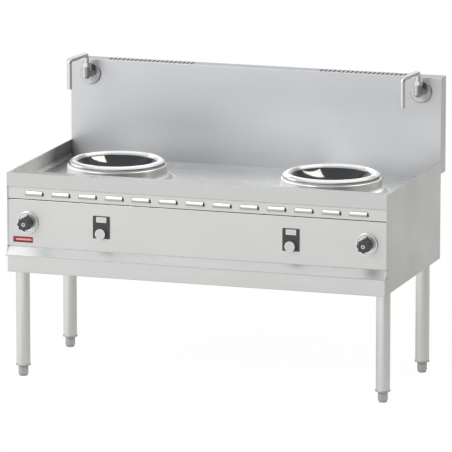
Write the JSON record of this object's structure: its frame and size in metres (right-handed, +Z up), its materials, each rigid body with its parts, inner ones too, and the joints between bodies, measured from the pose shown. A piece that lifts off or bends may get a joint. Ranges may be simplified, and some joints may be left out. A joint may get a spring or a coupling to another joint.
{
  "type": "wok range",
  "caption": "Free-standing stainless induction wok range: dished glass wells in a sunk worktop, high splashback with swivel taps, louvred front, round screw-foot legs.",
  "frame": {"origin": "on the floor under the centre of the whole range's box, from the tap knobs' faces to the rear screws", "axes": "+X along the front to the viewer's right, +Y from the cook to the wall, +Z up"},
  "size_m": [1.6, 0.891, 1.2356],
  "materials": {
    "worktop_steel": "fine brushed stainless steel",
    "panel_steel": "satin stainless steel",
    "splash_steel": "satin stainless steel",
    "leg_steel": "drawn stainless tube",
    "foot_steel": "turned steel",
    "ring_steel": "polished",
    "tap_chrome": "polished chrome",
    "knob_steel": "satin turned",
    "bowl_glass": "black polished glass ceramic",
    "seal_rubber": "matt silicone",
    "coil_copper": "enamelled wire",
    "carrier_plastic": "matt",
    "frame_steel": "zinc plated",
    "plate_black": "satin",
    "display_white": "lit display window",
    "plate_red": "satin enamel",
    "tap_black": "matt",
    "valve_brass": "nickelled",
    "pipe_steel": "drawn tube",
    "casing_aluminium": "plain sheet",
    "fan_plastic": "matt"
  },
  "bodies": {
    "range": {"worktop_pan": "worktop_steel", "left_wok_collar": "worktop_steel", "right_wok_collar": "worktop_steel", "left_wok_ring": "ring_steel", "right_wok_ring": "ring_steel", "left_glass_bowl": "bowl_glass", "right_glass_bowl": "bowl_glass", "bowl_seals": "seal_rubber", "induction_coils": "coil_copper", "coil_carriers": "carrier_plastic", "left_side_panel": "panel_steel", "right_side_panel": "panel_steel", "louvre_strip": "panel_steel", "front_panel": "panel_steel", "back_panel": "panel_steel", "base_panel": "panel_steel", "splashback_shell": "splash_steel", "splashback_cover": "panel_steel", "side_beams": "frame_steel", "end_beams": "frame_steel", "crossbars": "frame_steel", "uprights": "frame_steel", "leg_inserts": "foot_steel", "leg_sockets": "frame_steel", "control_plates": "plate_black", "displays": "display_white", "encoders": "carrier_plastic", "nameplate": "plate_red", "tap_bezels": "knob_steel", "tap_valves": "valve_brass", "supply_pipes": "pipe_steel", "riser_pipes": "pipe_steel", "inlet_unions": "valve_brass", "tap_flanges": "tap_chrome", "flange_screws": "tap_chrome", "tap_bodies": "tap_chrome", "spout_nuts": "tap_chrome", "generators": "casing_aluminium", "heat_sinks": "casing_aluminium", "fan_housings": "fan_plastic", "terminal_box": "carrier_plastic", "cable_gland": "fan_plastic", "rear_screws": "tap_chrome", "front_left_leg": "leg_steel", "front_right_leg": "leg_steel", "rear_left_leg": "leg_steel", "rear_right_leg": "leg_steel"},
    "left_power_knob": {"left_power_knob": "knob_steel"},
    "right_power_knob": {"right_power_knob": "knob_steel"},
    "left_tap_knob": {"left_tap_knob": "tap_black"},
    "right_tap_knob": {"right_tap_knob": "tap_black"},
    "left_spout": {"left_spout": "tap_chrome"},
    "right_spout": {"right_spout": "tap_chrome"},
    "left_fan_rotor": {"left_fan_rotor": "fan_plastic"},
    "right_fan_rotor": {"right_fan_rotor": "fan_plastic"},
    "front_left_foot": {"front_left_foot": "foot_steel"},
    "front_right_foot": {"front_right_foot": "foot_steel"},
    "rear_left_foot": {"rear_left_foot": "foot_steel"},
    "rear_right_foot": {"rear_right_foot": "foot_steel"}
  },
  "joints": [
    {"name": "left_spout_swivel", "type": "hinge", "parent": "range", "child": "left_spout", "pos_m": [-0.715, 0.3245, 1.18], "axis": [0, 0, 1], "range_deg": [-83, 97]},
    {"name": "left_tap_turn", "type": "hinge", "parent": "range", "child": "left_tap_knob", "pos_m": [-0.715, -0.3905, 0.652], "axis": [0, 1, 0], "range_deg": [-180, 0]},
    {"name": "left_power_turn", "type": "hinge", "parent": "range", "child": "left_power_knob", "pos_m": [-0.4, -0.3905, 0.626], "axis": [0, 1, 0], "range_deg": [0, 300]},
    {"name": "left_fan_spin", "type": "hinge", "parent": "range", "child": "left_fan_rotor", "pos_m": [-0.4575, 0.1245, 0.6215], "axis": [0, 1, 0], "continuous": true},
    {"name": "right_spout_swivel", "type": "hinge", "parent": "range", "child": "right_spout", "pos_m": [0.715, 0.3245, 1.18], "axis": [0, 0, 1], "range_deg": [-83, 97]},
    {"name": "right_tap_turn", "type": "hinge", "parent": "range", "child": "right_tap_knob", "pos_m": [0.715, -0.3905, 0.652], "axis": [0, 1, 0], "range_deg": [-180, 0]},
    {"name": "right_power_turn", "type": "hinge", "parent": "range", "child": "right_power_knob", "pos_m": [0.4, -0.3905, 0.626], "axis": [0, 1, 0], "range_deg": [0, 300]},
    {"name": "right_fan_spin", "type": "hinge", "parent": "range", "child": "right_fan_rotor", "pos_m": [0.4575, 0.1245, 0.6215], "axis": [0, 1, 0], "continuous": true},
    {"name": "front_left_foot_screw", "type": "slide", "parent": "range", "child": "front_left_foot", "axis": [0, 0, -1], "range_m": [0, 0.025]},
    {"name": "front_right_foot_screw", "type": "slide", "parent": "range", "child": "front_right_foot", "axis": [0, 0, -1], "range_m": [0, 0.025]},
    {"name": "rear_left_foot_screw", "type": "slide", "parent": "range", "child": "rear_left_foot", "axis": [0, 0, -1], "range_m": [0, 0.025]},
    {"name": "rear_right_foot_screw", "type": "slide", "parent": "range", "child": "rear_right_foot", "axis": [0, 0, -1], "range_m": [0, 0.025]}
  ]
}
